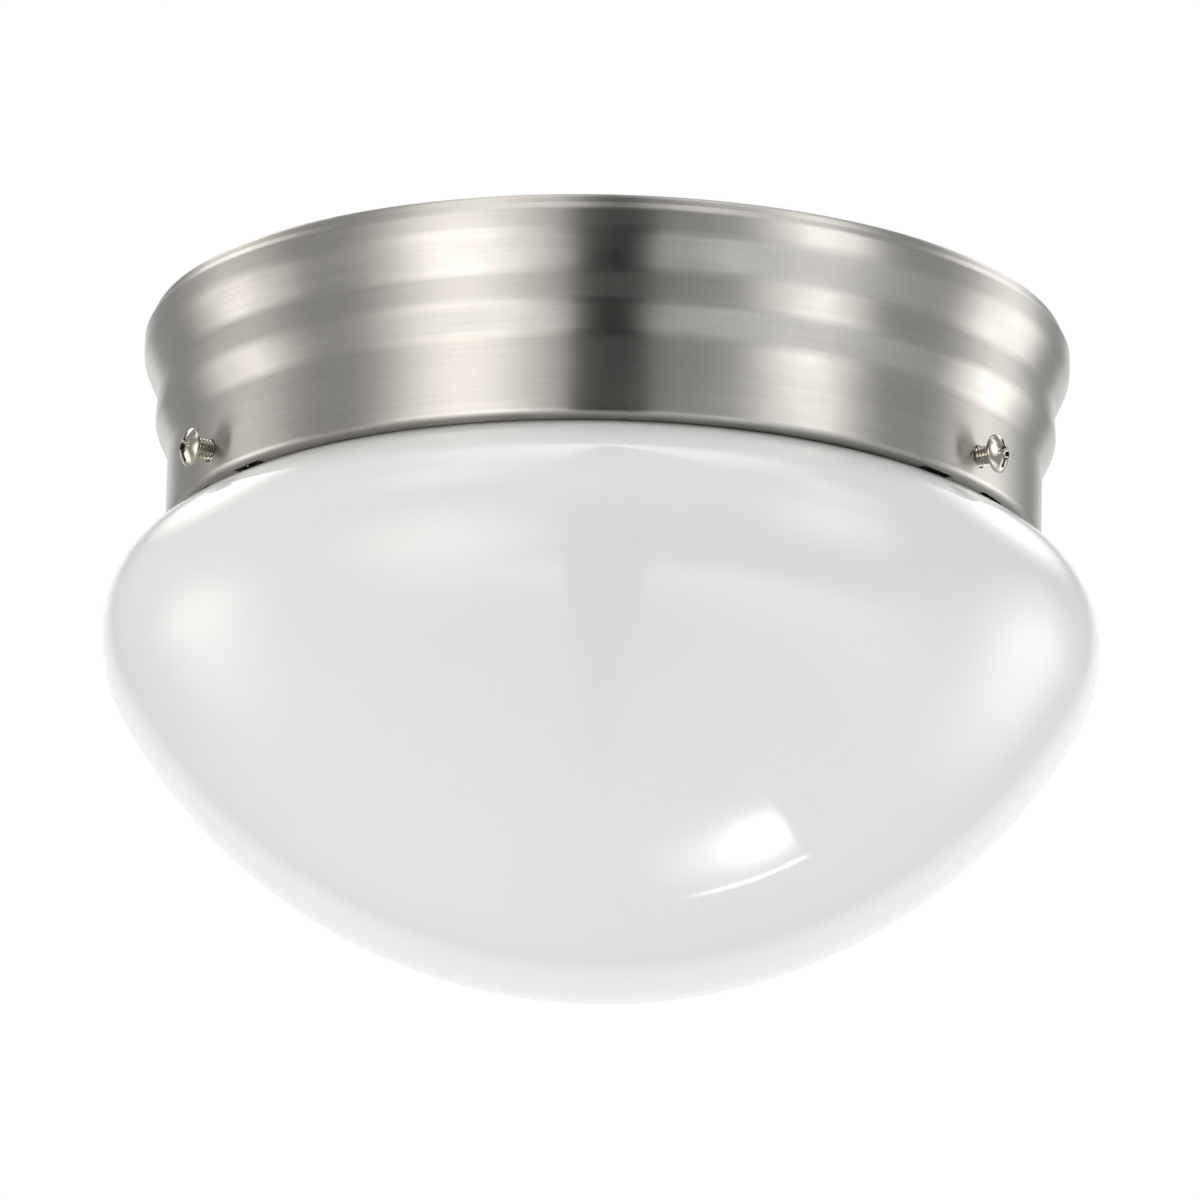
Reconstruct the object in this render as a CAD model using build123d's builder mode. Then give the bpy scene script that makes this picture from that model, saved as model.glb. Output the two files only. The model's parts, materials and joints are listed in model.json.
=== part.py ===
from build123d import *
import os
from math import acos, atan2, cos, degrees, radians, sin, sqrt, tan

os.makedirs("parts", exist_ok=True)

# Flush mount ceiling light with a mushroom glass held by three screws.
# Millimetres. The origin is the centre of the ceiling plane, +Z is up, and the light hangs
# down to -Z. Every depth is measured down from the ceiling.

# ---- Driving dimensions ----------------------------------------------------------------

# Pan: one drawn sheet
sheet = 0.7                     # steel thickness
pan_height = 44.5               # ceiling to the underside of the bottom flange
neck_r = 89.5                   # outside of the straight neck
rim_width = 7.5                 # rolled top edge, from the recess wall to the bead
rim_round = 2.6
plate_depth = 7.0               # ceiling to the recessed plate
recess_round = 1.2              # corner between plate and recess wall
bead_out = 5.4                  # upper bead stands out from the neck
bead_top = 3.6
bead_bottom = 8.0
waist_out = 2.45
waist_depth = 14.8
step_out = 2.55                 # lower bead
step_depth = 22.0
neck_depth = 27.3               # the straight neck starts here
strip_height = 2.1              # narrow strip along the top edge
strip_step = 0.95               # the strip lies this far inside the bead
strip_lean = 0.65
strip_round = 1.6
crease_round = 0.6
bead_top_round = 1.4
bead_bottom_round = 6.0
waist_round = 4.5
step_round = 4.0
neck_round = 5.0
flange_width = 4.3
flange_round = 1.8              # corner between neck and flange

# Screws that hold the glass
screw_count = 3
screw_clock = 87.15             # degrees from +X to the first screw
screw_rise = 5.45               # screw axis above the flange's underside
screw_r = 2.08                  # No. 8 machine screw
screw_length = 12.7             # under the head
screw_head_r = 3.9
screw_head_height = 2.5
wall_hole_r = 2.35
tap_gap = 0.07                  # between a screw and the hole that it is tapped into

# Every round-headed screw and rivet
slot_width = 1.0
slot_share = 0.45               # slot depth over head height
head_rounding = 0.7             # edge radius over head height

# Tongues bent up from the flange, one behind each screw
tongue_width = 11.0
tongue_height = 11.0
tongue_gap = 1.45               # between the tongue and the neck's inside
tongue_bend_r = 1.1
tongue_corner_r = 2.5
collar_r = 3.3                  # drawn collar round the tapped hole
collar_length = 1.2
relief_width = 9.0              # notch in the flange on each side of a tongue

# Glass
shade_r = 101.7
bowl_depth = 71.9               # from the widest ring down to the bottom
glass_wall = 3.0
hip_r = 31.35                   # arc below the widest ring
equator_r = 21.0                # arc above it
equator_turn = 53.0             # degrees
shoulder_r = 40.0
throat_r = 3.5                  # inside corner between shoulder and neck
shade_gap = 0.35                # glass below the flange's inner edge
lip_gap = 1.6                   # lip inside the flange's inner edge
lip_overhang = 3.3              # lip stands out past the waist
lip_angle = 16.7                # degrees off vertical
lip_bend_r = 8.0
lip_round = 1.3
tip_gap = 0.3                   # screw tip to the glass

# Mounting strap and what is fixed to it
strap_thickness = 1.6
strap_width = 20.0
strap_end = 4.0                 # metal past each slot
box_pitch = 88.9                # outlet box screws
box_slot_r = 2.3
box_slot_length = 10.0
nipple_hole_r = 5.2
fixture_pitch = 70.0            # fixture screws
fixture_screw_r = 2.08
fixture_screw_length = 10.0
fixture_head_r = 4.0
fixture_head_height = 2.2
keyhole_slot_r = 2.3            # narrow end, round the screw
keyhole_r = 4.8                 # wide end, which the head goes through
keyhole_run = 9.0               # from one to the other
ground_x = -18.0
ground_screw_r = 2.4
ground_screw_length = 5.0
ground_head_r = 4.2
ground_head_height = 2.4

# Insulation
foil = 0.25
pad_rim_gap = 0.4               # between the pad and the corner of the recess
pad_screw_width = 14.0          # opening over the strap's screws
pad_screw_length = 30.0
pad_screw_x = 39.5
pad_hole_gap = 1.6              # round bushing, rivets and screws

# Wire bushing
bushing_x = 27.0
bushing_y = 27.0
bushing_hole_r = 5.5            # hole in the plate
bushing_bore_r = 3.8
bushing_rim_r = 7.4
bushing_rim = 1.2
bushing_lip_r = 6.2
bushing_lip = 1.5
bushing_gap = 0.1

# Lampholder, E26
bracket_thickness = 1.0
bracket_width = 26.0
bracket_length = 76.0
rivet_pitch = 62.0
rivet_r = 1.6
rivet_head_r = 3.2
rivet_head_height = 0.9
rivet_tail_r = 2.4
rivet_tail_height = 0.9
holder_height = 34.0
holder_flange_r = 24.0
holder_flange = 9.0
holder_barrel_r = 17.0
holder_cavity_r = 14.1
holder_floor = 7.0
holder_round = 1.5
holder_screw_pitch = 41.4
holder_screw_r = 1.7
holder_screw_head_r = 2.9
holder_screw_head_height = 1.8
holder_screw_gap = 0.2
terminal_pitch = 41.4
terminal_screw_r = 1.9
terminal_screw_length = 6.0
terminal_head_r = 2.9
terminal_head_height = 1.9
terminal_plate_thickness = 0.8
terminal_plate_width = 6.2
contact_thickness = 0.5
contact_width = 6.0
contact_drop = 2.6              # the sprung end hangs below the floor
contact_rivet_r = 1.3
contact_rivet_x = -4.6
contact_reach = 7.0             # half length of the strip
shell_rim = 5.0                 # shell's flange on the floor of the cavity

# E26 thread, drawn as rings
thread_pitch = 3.63
thread_turns = 4
thread_minor_r = 12.35          # bulb shell
thread_depth = 0.75
thread_gap = 0.35               # between the bulb shell and the lampholder shell
shell_wall = 0.3

# Bulb, A19
bulb_r = 30.0
bulb_length = 108.0             # contact to crown
contact_gap = 0.3               # bulb contact to the lampholder's contact
tip_r = 4.8
tip_height = 1.6
insulator_height = 3.4
insulator_r = 10.5
shell_skirt = 5.5               # plain cylinder under the thread
shell_lead = 0.6                # from the insulator to the first ring
housing_wall = 1.6
housing_neck_r = 14.2
housing_gap = 0.3               # under the base shell
housing_spigot = 3.5            # part of the housing that the base shell is crimped on
housing_end_r = 27.0            # where the diffuser begins
housing_round = 40.0            # between the neck and the cone
housing_ledge = 1.5             # ring inside that the LED board is pressed against
housing_ledge_width = 2.5
diffuser_wall = 1.4
led_board_thickness = 1.6
led_board_r = 23.0
led_board_inset = 1.0           # above the diffuser's edge
led_chip = 2.8
led_chip_height = 0.7
led_chip_count = 10
led_chip_ring_r = 15.0
driver_width = 17.0
driver_length = 30.0
driver_thickness = 1.6

# ---- Places worked out from them -------------------------------------------------------

bead_r = neck_r + bead_out
strip_r = bead_r - strip_step
flange_r = neck_r - flange_width                # inner edge of the bottom flange
rim_inner_r = bead_r - rim_width                # recess wall, ceiling side
plate_bottom = -plate_depth - sheet
lip_r = flange_r - lip_gap
waist_r = lip_r - lip_overhang
screw_z = screw_rise - pan_height
screw_seat_r = waist_r + tip_gap + screw_length     # underside of a shade screw's head
screw_angles = [screw_clock + i * 360 / screw_count for i in range(screw_count)]
tongue_outer = neck_r - sheet - tongue_gap
tongue_inner = tongue_outer - sheet
relief_r = tongue_outer - 0.1


def radial_plane(angle, reach, height):
    """Plane square to a screw: local X runs round the pan and local Y runs up."""
    out = Vector(cos(radians(angle)), sin(radians(angle)), 0)
    return Plane(origin=out * reach + Vector(0, 0, height), x_dir=(-out.Y, out.X, 0), z_dir=out)


def facing_down(x, y, z):
    """Place for a screw or rivet that is driven upwards."""
    return Plane(origin=(x, y, z), x_dir=(1, 0, 0), z_dir=(0, 0, -1))


def fastener(shank_r, length, head_r, head_height, slotted=True):
    """A round-headed screw or rivet: head on +Z, shank down -Z, seat at the origin."""
    with BuildPart() as piece:
        Cylinder(shank_r, length, align=(Align.CENTER, Align.CENTER, Align.MAX))
        Cylinder(head_r, head_height, align=(Align.CENTER, Align.CENTER, Align.MIN))
        fillet(piece.edges().group_by(Axis.Z)[-1], head_height * head_rounding)
        if slotted:
            with BuildSketch(Plane.XY.offset(head_height)):
                Rectangle(2 * head_r, slot_width)
            extrude(amount=-head_height * slot_share, mode=Mode.SUBTRACT)
    return piece.part


# ---- Pan -------------------------------------------------------------------------------

# One tongue, on +X. Its root runs into the corner of the flange.
with BuildPart() as tongue:
    with BuildSketch(Plane.XZ):
        with BuildLine():
            FilletPolyline(
                (tongue_outer + sheet, -pan_height),
                (tongue_inner, -pan_height),
                (tongue_inner, tongue_height - pan_height),
                radius=tongue_bend_r,
            )
            offset(amount=sheet, side=Side.RIGHT)
        make_face()
    extrude(amount=tongue_width / 2, both=True)
    fillet(tongue.edges().filter_by(Axis.X).group_by(Axis.Z)[-1], tongue_corner_r)
    with BuildSketch(Plane.YZ.offset(tongue_inner)):
        with Locations((0, screw_z)):
            Circle(collar_r)
    extrude(amount=-collar_length)
    with BuildSketch(Plane.YZ.offset(tongue_outer)):
        with Locations((0, screw_z)):
            Circle(screw_r + tap_gap)
    extrude(amount=-sheet - collar_length, mode=Mode.SUBTRACT)

with BuildPart() as pan:
    # The outside of the sheet: up the recess, over the rolled rim, down both beads and the
    # neck, and in along the bottom flange.
    with BuildSketch(Plane.XZ):
        with BuildLine():
            FilletPolyline(
                (0, -plate_depth),
                (rim_inner_r, -plate_depth),
                (rim_inner_r, 0),
                (strip_r - strip_lean, 0),
                (strip_r, -strip_height),
                (bead_r, -bead_top),
                (bead_r, -bead_bottom),
                (neck_r + waist_out, -waist_depth),
                (neck_r + step_out, -step_depth),
                (neck_r, -neck_depth),
                (neck_r, -pan_height),
                (flange_r, -pan_height),
                radius=[
                    recess_round,
                    rim_round,
                    strip_round,
                    crease_round,
                    bead_top_round,
                    bead_bottom_round,
                    waist_round,
                    step_round,
                    neck_round,
                    flange_round,
                ],
            )
            offset(amount=sheet, side=Side.RIGHT)
        make_face()
    revolve(axis=Axis.Z)

    # The flange stops short on both sides of each tongue.
    with BuildSketch(Plane.XY.offset(-pan_height)):
        with PolarLocations(relief_r, screw_count, start_angle=screw_clock):
            Rectangle(4 * flange_width, tongue_width + 2 * relief_width)
        Circle(relief_r, mode=Mode.INTERSECT)
    extrude(amount=sheet, mode=Mode.SUBTRACT)
    with PolarLocations(0, screw_count, start_angle=screw_clock):
        add(tongue.part)

    for angle in screw_angles:
        with BuildSketch(radial_plane(angle, neck_r, screw_z)):
            Circle(wall_hole_r)
        extrude(amount=-tongue_gap, mode=Mode.SUBTRACT)

    # Keyholes, wire hole, rivet holes and clearance for the lampholder screws
    with BuildSketch(Plane.XY.offset(plate_bottom)):
        with PolarLocations(fixture_pitch / 2, 2):
            Circle(keyhole_slot_r)
            with Locations((0, keyhole_run / 2)):
                Rectangle(2 * keyhole_slot_r, keyhole_run)
            with Locations((0, keyhole_run)):
                Circle(keyhole_r)
        with Locations((bushing_x, bushing_y)):
            Circle(bushing_hole_r)
        with Locations((0, rivet_pitch / 2), (0, -rivet_pitch / 2)):
            Circle(rivet_r + tap_gap)
        with Locations((0, holder_screw_pitch / 2), (0, -holder_screw_pitch / 2)):
            Circle(holder_screw_r + holder_screw_gap)
    extrude(amount=sheet, mode=Mode.SUBTRACT)
pan.part.label = "pan"
export_step(pan.part, "parts/pan.step")

# ---- Shade -----------------------------------------------------------------------------

# The upper arcs, found from where the shoulder has to clear the flange's inner edge.
equator_x = shade_r - equator_r
shoulder_x = equator_x - (shoulder_r - equator_r) * cos(radians(equator_turn))
clear_angle = acos((flange_r - shoulder_x) / shoulder_r)
shoulder_z = -pan_height - shade_gap - shoulder_r * sin(clear_angle)
equator_z = shoulder_z + (shoulder_r - equator_r) * sin(radians(equator_turn))
throat_angle = degrees(acos((waist_r + throat_r - shoulder_x) / (shoulder_r + throat_r)))
shoulder_turn = throat_angle - equator_turn

# The bowl: a wide arc from the bottom that runs into the hip arc.
hip_x = shade_r - hip_r
bowl_r = (hip_x**2 + bowl_depth**2 - hip_r**2) / (2 * (bowl_depth - hip_r))
bowl_turn = degrees(atan2(hip_x, bowl_r - bowl_depth))
shade_bottom = equator_z - bowl_depth

# The lip: it bends outwards above the screws.
flare_z = screw_z + screw_r
lip_lean = radians(lip_angle)
lip_z = flare_z + lip_bend_r * tan(lip_lean / 2) + lip_overhang / tan(lip_lean)

with BuildPart() as shade_glass:
    with BuildSketch(Plane.XZ) as shade_wall:
        with BuildLine():
            bowl = JernArc((0, shade_bottom), (1, 0), bowl_r, bowl_turn)
            hip = JernArc(bowl @ 1, bowl % 1, hip_r, 90 - bowl_turn)
            equator = JernArc(hip @ 1, hip % 1, equator_r, equator_turn)
            shoulder = JernArc(equator @ 1, equator % 1, shoulder_r, shoulder_turn)
            throat = JernArc(shoulder @ 1, shoulder % 1, throat_r, -throat_angle)
            waist = Line(throat @ 1, (waist_r, flare_z))
            flare = JernArc(waist @ 1, waist % 1, lip_bend_r, -lip_angle)
            Line(flare @ 1, (lip_r, lip_z))
            offset(amount=glass_wall, side=Side.LEFT)
        make_face()
        fillet(shade_wall.vertices().sort_by_distance((lip_r, lip_z))[:2], lip_round)
    revolve(axis=Axis.Z)
shade_glass.part.label = "shade_glass"
export_step(shade_glass.part, "parts/shade_glass.step")

# ---- Shade screws, one node each because each moves by itself --------------------------

for number, angle in enumerate(screw_angles, start=1):
    with BuildPart() as shade_screw:
        with Locations(radial_plane(angle, screw_seat_r, screw_z)):
            add(fastener(screw_r, screw_length, screw_head_r, screw_head_height))
    shade_screw.part.label = f"shade_screw_{number}"
    export_step(shade_screw.part, f"parts/shade_screw_{number}.step")

# ---- Mounting strap, ground screw and fixture screws -----------------------------------

with BuildPart() as mounting_strap:
    with BuildSketch(Plane.XY.offset(-strap_thickness)):
        SlotOverall(box_pitch + box_slot_length + 2 * strap_end, strap_width)
        with PolarLocations(box_pitch / 2, 2):
            SlotOverall(box_slot_length, 2 * box_slot_r, mode=Mode.SUBTRACT)
        with PolarLocations(fixture_pitch / 2, 2):
            Circle(fixture_screw_r + tap_gap, mode=Mode.SUBTRACT)
        with Locations((ground_x, 0)):
            Circle(ground_screw_r + tap_gap, mode=Mode.SUBTRACT)
        Circle(nipple_hole_r, mode=Mode.SUBTRACT)
    extrude(amount=strap_thickness)
mounting_strap.part.label = "mounting_strap"
export_step(mounting_strap.part, "parts/mounting_strap.step")

with BuildPart() as ground_screw:
    with Locations(facing_down(ground_x, 0, -strap_thickness)):
        add(fastener(ground_screw_r, ground_screw_length, ground_head_r, ground_head_height))
ground_screw.part.label = "ground_screw"
export_step(ground_screw.part, "parts/ground_screw.step")

with BuildPart() as fixture_screws:
    with Locations(
        facing_down(fixture_pitch / 2, 0, plate_bottom),
        facing_down(-fixture_pitch / 2, 0, plate_bottom),
    ):
        add(fastener(fixture_screw_r, fixture_screw_length, fixture_head_r, fixture_head_height))
fixture_screws.part.label = "fixture_screws"
export_step(fixture_screws.part, "parts/fixture_screws.step")

# ---- Insulation: a foil-faced pad that fills the recess under the strap ----------------

with BuildSketch(Plane.XY.offset(-plate_depth)) as pad_outline:
    Circle(rim_inner_r - recess_round - pad_rim_gap)
    with PolarLocations(fixture_pitch / 2, 2):
        with Locations((pad_screw_x - fixture_pitch / 2, 0)):
            SlotOverall(pad_screw_length, pad_screw_width, mode=Mode.SUBTRACT)
        with Locations((0, keyhole_run)):
            Circle(keyhole_r + pad_hole_gap, mode=Mode.SUBTRACT)
    with Locations((ground_x, 0)):
        Circle(ground_head_r + pad_hole_gap, mode=Mode.SUBTRACT)
    with Locations((bushing_x, bushing_y)):
        Circle(bushing_rim_r + pad_hole_gap, mode=Mode.SUBTRACT)
    with Locations((0, rivet_pitch / 2), (0, -rivet_pitch / 2)):
        Circle(rivet_tail_r + pad_hole_gap, mode=Mode.SUBTRACT)
    with Locations((0, holder_screw_pitch / 2), (0, -holder_screw_pitch / 2)):
        Circle(holder_screw_r + pad_hole_gap, mode=Mode.SUBTRACT)

with BuildPart() as insulation_foil:
    add(pad_outline.sketch)
    extrude(amount=foil)
insulation_foil.part.label = "insulation_foil"
export_step(insulation_foil.part, "parts/insulation_foil.step")

with BuildPart() as insulation_pad:
    add(pad_outline.sketch.moved(Location((0, 0, foil))))
    extrude(amount=plate_depth - foil - strap_thickness)
insulation_pad.part.label = "insulation_pad"
export_step(insulation_pad.part, "parts/insulation_pad.step")

# ---- Wire bushing, snapped into the plate ----------------------------------------------

with BuildPart() as wire_bushing:
    with Locations((bushing_x, bushing_y, -plate_depth)):
        Cylinder(bushing_rim_r, bushing_rim, align=(Align.CENTER, Align.CENTER, Align.MIN))
        Cylinder(
            bushing_hole_r - bushing_gap, sheet, align=(Align.CENTER, Align.CENTER, Align.MAX)
        )
    with Locations((bushing_x, bushing_y, plate_bottom)):
        Cylinder(bushing_lip_r, bushing_lip, align=(Align.CENTER, Align.CENTER, Align.MAX))
    chamfer(wire_bushing.edges().group_by(Axis.Z)[0], bushing_lip / 2)
    fillet(wire_bushing.edges().group_by(Axis.Z)[-1], bushing_rim / 2)
    with Locations((bushing_x, bushing_y, 0)):
        Cylinder(bushing_bore_r, 4 * plate_depth, mode=Mode.SUBTRACT)
wire_bushing.part.label = "wire_bushing"
export_step(wire_bushing.part, "parts/wire_bushing.step")

# ---- Lampholder ------------------------------------------------------------------------

holder_top = plate_bottom - bracket_thickness
holder_mouth = holder_top - holder_height
cavity_top = holder_top - holder_floor
flange_underside = holder_top - holder_flange

with BuildPart() as lampholder_bracket:
    with BuildSketch(Plane.XY.offset(holder_top)) as strip:
        Rectangle(bracket_width, bracket_length)
        fillet(strip.vertices(), bracket_width / 4)
        with Locations((0, rivet_pitch / 2), (0, -rivet_pitch / 2)):
            Circle(rivet_r + tap_gap, mode=Mode.SUBTRACT)
        with Locations((0, holder_screw_pitch / 2), (0, -holder_screw_pitch / 2)):
            Circle(holder_screw_r + tap_gap, mode=Mode.SUBTRACT)
    extrude(amount=bracket_thickness)
lampholder_bracket.part.label = "lampholder_bracket"
export_step(lampholder_bracket.part, "parts/lampholder_bracket.step")

with BuildPart() as bracket_rivets:
    rivet_grip = bracket_thickness + sheet
    with Locations(
        facing_down(0, rivet_pitch / 2, holder_top), facing_down(0, -rivet_pitch / 2, holder_top)
    ):
        add(fastener(rivet_r, rivet_grip, rivet_head_r, rivet_head_height, slotted=False))
    with Locations((0, rivet_pitch / 2, -plate_depth), (0, -rivet_pitch / 2, -plate_depth)):
        Cylinder(rivet_tail_r, rivet_tail_height, align=(Align.CENTER, Align.CENTER, Align.MIN))
bracket_rivets.part.label = "bracket_rivets"
export_step(bracket_rivets.part, "parts/bracket_rivets.step")

with BuildPart() as lampholder_body:
    with BuildSketch(Plane.XY.offset(holder_top)):
        Circle(holder_flange_r)
    extrude(amount=-holder_flange)
    with BuildSketch(Plane.XY.offset(holder_top)):
        Circle(holder_barrel_r)
    extrude(amount=-holder_height)
    fillet(lampholder_body.edges().group_by(Axis.Z)[0], holder_round)
    flange_edges = lampholder_body.edges().filter_by_position(
        Axis.Z, flange_underside, flange_underside
    )
    fillet(flange_edges.sort_by(SortBy.RADIUS)[-1], holder_round)
    with BuildSketch(Plane.XY.offset(holder_mouth)):
        Circle(holder_cavity_r)
    extrude(amount=holder_height - holder_floor, mode=Mode.SUBTRACT)
    with BuildSketch(Plane.XY.offset(holder_top)):
        with Locations((0, holder_screw_pitch / 2), (0, -holder_screw_pitch / 2)):
            Circle(holder_screw_r + holder_screw_gap)
        with Locations((contact_rivet_x, 0)):
            Circle(contact_rivet_r + tap_gap)
    extrude(amount=-holder_flange, mode=Mode.SUBTRACT)
    with BuildSketch(Plane.XY.offset(flange_underside)):
        with Locations((terminal_pitch / 2, 0), (-terminal_pitch / 2, 0)):
            Circle(terminal_screw_r + tap_gap)
    extrude(amount=terminal_screw_length, mode=Mode.SUBTRACT)
lampholder_body.part.label = "lampholder_body"
export_step(lampholder_body.part, "parts/lampholder_body.step")

with BuildPart() as lampholder_screws:
    holder_screw_length = holder_flange + bracket_thickness + sheet
    with Locations(
        facing_down(0, holder_screw_pitch / 2, flange_underside),
        facing_down(0, -holder_screw_pitch / 2, flange_underside),
    ):
        add(
            fastener(
                holder_screw_r, holder_screw_length, holder_screw_head_r, holder_screw_head_height
            )
        )
lampholder_screws.part.label = "lampholder_screws"
export_step(lampholder_screws.part, "parts/lampholder_screws.step")

for side, terminal in ((1, "hot_terminal"), (-1, "neutral_terminal")):
    terminal_x = side * terminal_pitch / 2
    with BuildPart() as terminal_plate:
        with BuildSketch(Plane.XY.offset(flange_underside)):
            with Locations((terminal_x, 0)):
                Rectangle(terminal_plate_width, terminal_plate_width)
                Circle(terminal_screw_r + tap_gap, mode=Mode.SUBTRACT)
        extrude(amount=-terminal_plate_thickness)
    terminal_plate.part.label = f"{terminal}_plate"
    export_step(terminal_plate.part, f"parts/{terminal}_plate.step")
    with BuildPart() as terminal_screw:
        terminal_seat = flange_underside - terminal_plate_thickness
        with Locations(facing_down(terminal_x, 0, terminal_seat)):
            add(
                fastener(
                    terminal_screw_r, terminal_screw_length, terminal_head_r, terminal_head_height
                )
            )
    terminal_screw.part.label = f"{terminal}_screw"
    export_step(terminal_screw.part, f"parts/{terminal}_screw.step")

# Sprung strip that touches the bulb's contact; its rivet goes up through the floor
contact_low = cavity_top - contact_drop
with BuildPart() as lampholder_contact:
    with BuildSketch(Plane.XZ):
        with BuildLine():
            FilletPolyline(
                (-contact_reach, cavity_top),
                (contact_rivet_x + contact_width / 2, cavity_top),
                (0, contact_low + contact_thickness),
                (contact_reach - contact_width / 2, contact_low + contact_thickness),
                radius=contact_thickness,
            )
            offset(amount=contact_thickness, side=Side.RIGHT)
        make_face()
    extrude(amount=contact_width / 2, both=True)
    with BuildSketch(Plane.XY.offset(cavity_top)):
        with Locations((contact_rivet_x, 0)):
            Circle(contact_rivet_r)
    extrude(amount=holder_floor)
lampholder_contact.part.label = "lampholder_contact"
export_step(lampholder_contact.part, "parts/lampholder_contact.step")

# ---- The E26 thread: the two shells have their rings at the same heights ---------------

bulb_top = contact_low - contact_gap
insulator_top = bulb_top - tip_height
shell_top = insulator_top - insulator_height
thread_top = shell_top - shell_lead
thread_bottom = thread_top - thread_turns * thread_pitch
skirt_bottom = thread_bottom - shell_skirt
thread_major_r = thread_minor_r + thread_depth


def thread_rings(clearance):
    """Zigzag from ring to ring, down to the plain skirt."""
    points = []
    for half_turn in range(2 * thread_turns + 1):
        crest = thread_depth if half_turn % 2 else 0
        reach = thread_minor_r + crest + clearance
        points.append((reach, thread_top - half_turn * thread_pitch / 2))
    points.append((thread_major_r + clearance, thread_bottom - thread_pitch / 2))
    return points


with BuildPart() as lampholder_shell:
    with BuildSketch(Plane.XZ):
        with BuildLine():
            Polyline(
                (thread_major_r + thread_gap - shell_rim, cavity_top - shell_wall),
                (thread_major_r + thread_gap, cavity_top - shell_wall),
                (thread_major_r + thread_gap, thread_top + thread_pitch / 2),
                *thread_rings(thread_gap),
                (thread_major_r + thread_gap, holder_mouth + shell_wall),
            )
            offset(amount=shell_wall, side=Side.LEFT, kind=Kind.INTERSECTION)
        make_face()
    revolve(axis=Axis.Z)
lampholder_shell.part.label = "lampholder_shell"
export_step(lampholder_shell.part, "parts/lampholder_shell.step")

with BuildPart() as bulb_base_shell:
    with BuildSketch(Plane.XZ):
        with BuildLine():
            Polyline(
                (insulator_r, shell_top),
                *thread_rings(0),
                (thread_major_r, skirt_bottom),
            )
            offset(amount=shell_wall, side=Side.RIGHT, kind=Kind.INTERSECTION)
        make_face()
    revolve(axis=Axis.Z)
bulb_base_shell.part.label = "bulb_base_shell"
export_step(bulb_base_shell.part, "parts/bulb_base_shell.step")

# ---- Bulb ------------------------------------------------------------------------------

with BuildPart() as bulb_base_contact:
    with BuildSketch(Plane.XY.offset(insulator_top)):
        Circle(tip_r)
    extrude(amount=tip_height)
    fillet(bulb_base_contact.edges().group_by(Axis.Z)[-1], tip_height * head_rounding)
bulb_base_contact.part.label = "bulb_base_contact"
export_step(bulb_base_contact.part, "parts/bulb_base_contact.step")

with BuildPart() as bulb_base_insulator:
    with BuildSketch(Plane.XY.offset(insulator_top)):
        Circle(tip_r)
    with BuildSketch(Plane.XY.offset(shell_top)):
        Circle(insulator_r)
    loft()
bulb_base_insulator.part.label = "bulb_base_insulator"
export_step(bulb_base_insulator.part, "parts/bulb_base_insulator.step")

# The diffuser is a ball that meets the housing where its radius is housing_end_r.
crown = bulb_top - bulb_length
ball_z = crown + bulb_r
ball_rise = sqrt(bulb_r**2 - housing_end_r**2)
housing_end = ball_z + ball_rise
housing_start = skirt_bottom - housing_gap
cone_start = housing_end + (housing_end_r - housing_neck_r) * housing_end_r / ball_rise
board_bottom = housing_end + led_board_inset
board_top = board_bottom + led_board_thickness
spigot_r = thread_major_r - shell_wall

with BuildPart() as bulb_housing:
    with BuildSketch(Plane.XZ):
        with BuildLine():
            FilletPolyline(
                (housing_neck_r, housing_start),
                (housing_neck_r, cone_start),
                (housing_end_r, housing_end),
                radius=housing_round,
            )
            offset(amount=housing_wall, side=Side.RIGHT)
        make_face()
        with Locations((0, housing_start)):
            Rectangle(housing_neck_r, housing_wall, align=(Align.MIN, Align.MAX))
            Rectangle(spigot_r, housing_spigot + housing_gap, align=(Align.MIN, Align.MIN))
        with Locations((0, housing_start - housing_wall)):
            Rectangle(
                spigot_r - 2 * housing_wall,
                housing_spigot + housing_gap + housing_wall,
                align=(Align.MIN, Align.MIN),
                mode=Mode.SUBTRACT,
            )
        with Locations((led_board_r, board_top)):
            Rectangle(housing_ledge_width, housing_ledge, align=(Align.MAX, Align.MIN))
            Rectangle(housing_wall, housing_ledge, align=(Align.MIN, Align.MIN))
    revolve(axis=Axis.Z)
bulb_housing.part.label = "bulb_housing"
export_step(bulb_housing.part, "parts/bulb_housing.step")

with BuildPart() as bulb_diffuser:
    with BuildSketch(Plane.XZ):
        with BuildLine():
            RadiusArc((housing_end_r, housing_end), (0, crown), bulb_r)
            offset(amount=diffuser_wall, side=Side.RIGHT)
        make_face()
    revolve(axis=Axis.Z)
bulb_diffuser.part.label = "bulb_diffuser"
export_step(bulb_diffuser.part, "parts/bulb_diffuser.step")

with BuildPart() as bulb_led_board:
    with BuildSketch(Plane.XY.offset(board_bottom)):
        Circle(led_board_r)
    extrude(amount=led_board_thickness)
bulb_led_board.part.label = "bulb_led_board"
export_step(bulb_led_board.part, "parts/bulb_led_board.step")

with BuildPart() as bulb_led_chips:
    with BuildSketch(Plane.XY.offset(board_bottom)):
        with PolarLocations(led_chip_ring_r, led_chip_count):
            Rectangle(led_chip, led_chip)
    extrude(amount=-led_chip_height)
bulb_led_chips.part.label = "bulb_led_chips"
export_step(bulb_led_chips.part, "parts/bulb_led_chips.step")

with BuildPart() as bulb_driver_board:
    with BuildSketch(Plane.XY.offset(board_top)):
        Rectangle(driver_width, driver_thickness)
    extrude(amount=driver_length)
bulb_driver_board.part.label = "bulb_driver_board"
export_step(bulb_driver_board.part, "parts/bulb_driver_board.step")
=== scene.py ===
"""Looks of a flush mount ceiling light: a brushed pan, an opal mushroom glass and what they hold.

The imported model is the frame. Pieces that need a finer form than their solids replace them, and the
other solids stay where they are and get their finish. Sizes are in mm until a mesh is made.
"""
from __future__ import annotations

import json
import logging
import math
from dataclasses import dataclass
from enum import Enum
from functools import cache
from typing import Any, Iterable

import bmesh
import bpy
from mathutils import Matrix, Vector

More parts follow.
